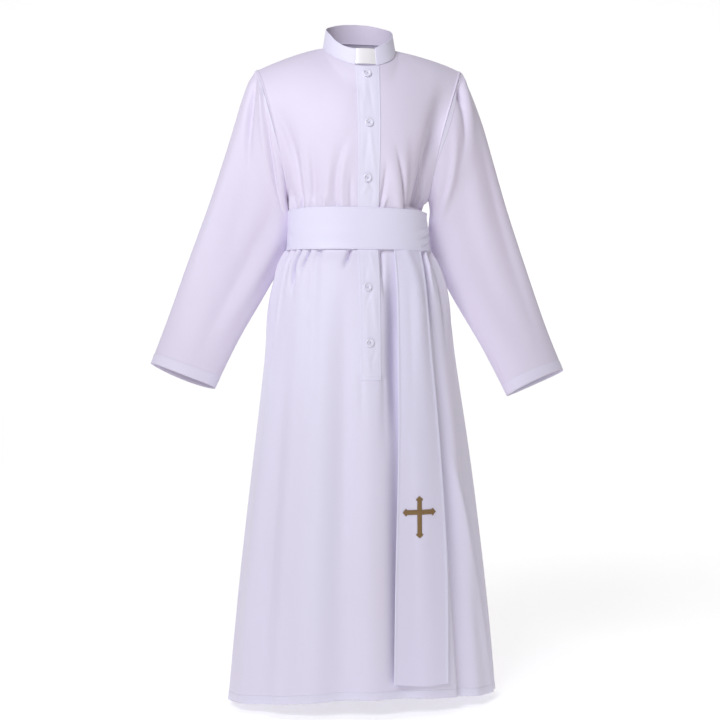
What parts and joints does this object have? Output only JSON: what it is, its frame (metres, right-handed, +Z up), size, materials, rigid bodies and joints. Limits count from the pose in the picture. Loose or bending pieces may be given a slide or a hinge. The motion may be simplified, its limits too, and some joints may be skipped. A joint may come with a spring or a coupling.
{
  "type": "cassock",
  "caption": "Ankle-length white cassock filled out as worn, hollow, with a stand collar and tab, a half placket, and a wide sash whose hanging end bears a cross.",
  "frame": {"origin": "middle of the neck's base, about 50 mm above the collar's front seam, where the wearer's neck carries the garment", "axes": "+Z up along the wearer's spine, the front towards -Y, the wearer's left towards +X"},
  "size_m": [0.876, 0.357, 1.4151],
  "materials": {
    "cassock_cloth": "soft satin weave",
    "sash_cloth": "soft satin weave",
    "tab_plastic": "smooth, matt",
    "button_plastic": "glossy",
    "cross_thread": "satin-stitch thread"
  },
  "bodies": {
    "root": {"front": "cassock_cloth", "back": "cassock_cloth", "sleeve_left": "cassock_cloth", "sleeve_right": "cassock_cloth", "collar": "cassock_cloth", "placket": "cassock_cloth", "sash": "sash_cloth", "sash_tail": "sash_cloth", "collar_tab": "tab_plastic", "button_1": "button_plastic", "button_2": "button_plastic", "button_3": "button_plastic", "button_4": "button_plastic", "button_5": "button_plastic", "sash_cross": "cross_thread"}
  },
  "joints": []
}
